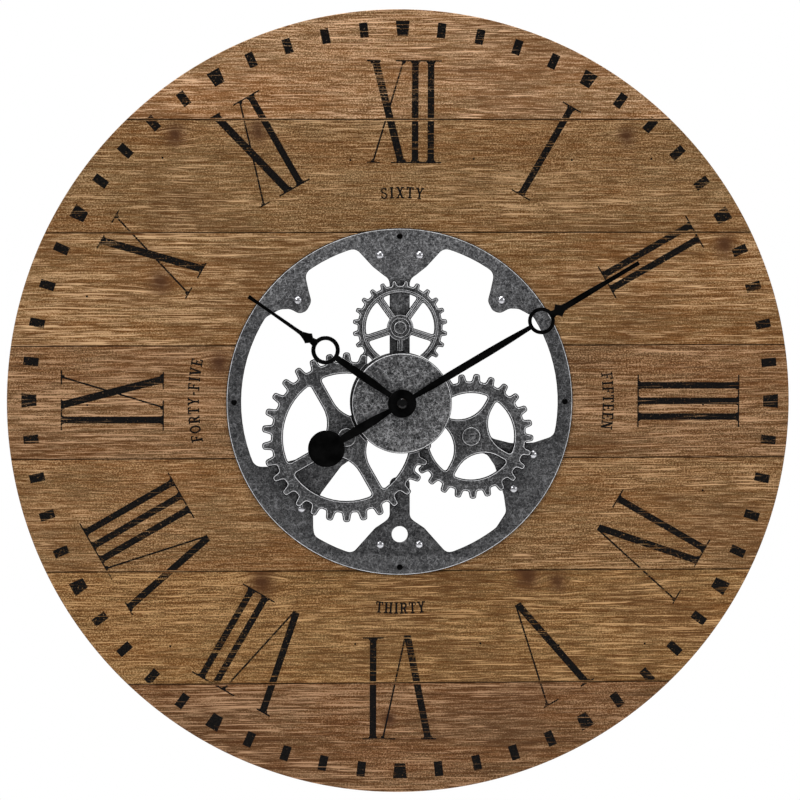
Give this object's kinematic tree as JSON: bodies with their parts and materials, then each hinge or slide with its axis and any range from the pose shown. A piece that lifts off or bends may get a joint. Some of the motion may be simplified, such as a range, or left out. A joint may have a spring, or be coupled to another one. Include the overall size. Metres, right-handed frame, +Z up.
{
  "type": "wall clock",
  "caption": "Round planked wall clock with an open centre of fixed decorative gears on a pierced metal plate, spade hands, and a battery movement in a round centre cup.",
  "frame": {"origin": "on the wall plane behind the clock, where the axis of the dial and hands meets it", "axes": "+Y from the dial into the wall, +Z up, +X to the right as the dial is read"},
  "size_m": [0.6858, 0.0642, 0.6858],
  "materials": {
    "board": "brushed brown stained softwood, black printed dial",
    "batten": "sawn pale softwood",
    "iron": "aged grey metal, mottled, worn bright on the edges",
    "pewter": "aged grey metal, mottled, worn bright on the edges",
    "chrome": "polished domed heads",
    "black": "satin black",
    "zinc": "zinc plated",
    "plastic": "moulded black",
    "nylon": "moulded off-white",
    "brass": "turned brass",
    "cell": "printed sleeve, plain"
  },
  "bodies": {
    "clock_frame": {"board_row_1": "board", "board_row_2": "board", "board_row_3": "board", "board_row_4_left": "board", "board_row_4_right": "board", "board_row_5": "board", "board_row_6": "board", "board_row_7": "board", "batten_left": "batten", "batten_right": "batten", "batten_top": "batten", "batten_bottom": "batten", "cleat_top": "batten", "cleat_bottom": "batten", "hanger_plate": "zinc", "hanger_screw_left": "zinc", "hanger_screw_right": "zinc", "gear_plate": "iron", "rivet_top_left": "chrome", "rivet_top_right": "chrome", "rivet_tab_left": "chrome", "rivet_tab_right": "chrome", "rivet_right_upper": "chrome", "rivet_right_lower": "chrome", "rivet_bottom_right": "chrome", "rivet_bottom_left": "chrome", "rivet_left_lower": "chrome", "rivet_left_upper": "chrome", "rim_screw_top": "black", "rim_screw_right": "black", "rim_screw_bottom": "black", "rim_screw_left": "black", "large_gear": "pewter", "large_gear_pin": "pewter", "large_gear_spacer": "zinc", "medium_gear": "pewter", "medium_gear_pin": "pewter", "medium_gear_spacer": "zinc", "small_gear": "pewter", "small_gear_pin": "pewter", "small_gear_spacer": "zinc", "centre_cup": "pewter", "cup_screw_top": "zinc", "cup_screw_right": "zinc", "cup_screw_left": "zinc", "movement_case": "plastic", "movement_lid": "plastic", "bush_nut": "brass", "motor_block": "brass"},
    "minute": {"minute_arbor": "brass", "minute_hand": "black", "hand_nut": "black"},
    "hour": {"hour_wheel": "nylon", "hour_hand": "black"},
    "motion": {"motion_wheel": "nylon"},
    "third": {"third_wheel": "nylon"},
    "setting": {"setting_knob": "plastic"},
    "cell": {"battery": "cell"}
  },
  "joints": [
    {"name": "minute_turn", "type": "hinge", "parent": "clock_frame", "child": "minute", "pos_m": [0, 0, 0], "axis": [0, 1, 0], "continuous": true},
    {"name": "hour_turn", "type": "hinge", "parent": "clock_frame", "child": "hour", "pos_m": [0, 0, 0], "axis": [0, 1, 0], "continuous": true},
    {"name": "motion_turn", "type": "hinge", "parent": "clock_frame", "child": "motion", "pos_m": [-0.01039, 0, 0.006], "axis": [0, 1, 0], "continuous": true},
    {"name": "third_turn", "type": "hinge", "parent": "clock_frame", "child": "third", "pos_m": [0.009, 0, 0.00654], "axis": [0, 1, 0], "continuous": true},
    {"name": "setting_turn", "type": "hinge", "parent": "clock_frame", "child": "setting", "pos_m": [-0.0145, 0, 0.01728], "axis": [0, 1, 0], "continuous": true},
    {"name": "cell_slide", "type": "slide", "parent": "clock_frame", "child": "cell", "axis": [0, 1, 0], "range_m": [0, 0.03]}
  ],
  "couplings": [
    {"joint": "hour_turn", "follows": "minute_turn", "ratio": 0.083333},
    {"joint": "motion_turn", "follows": "minute_turn", "ratio": -0.33333},
    {"joint": "third_turn", "follows": "minute_turn", "ratio": -6},
    {"joint": "setting_turn", "follows": "minute_turn", "ratio": 1}
  ]
}
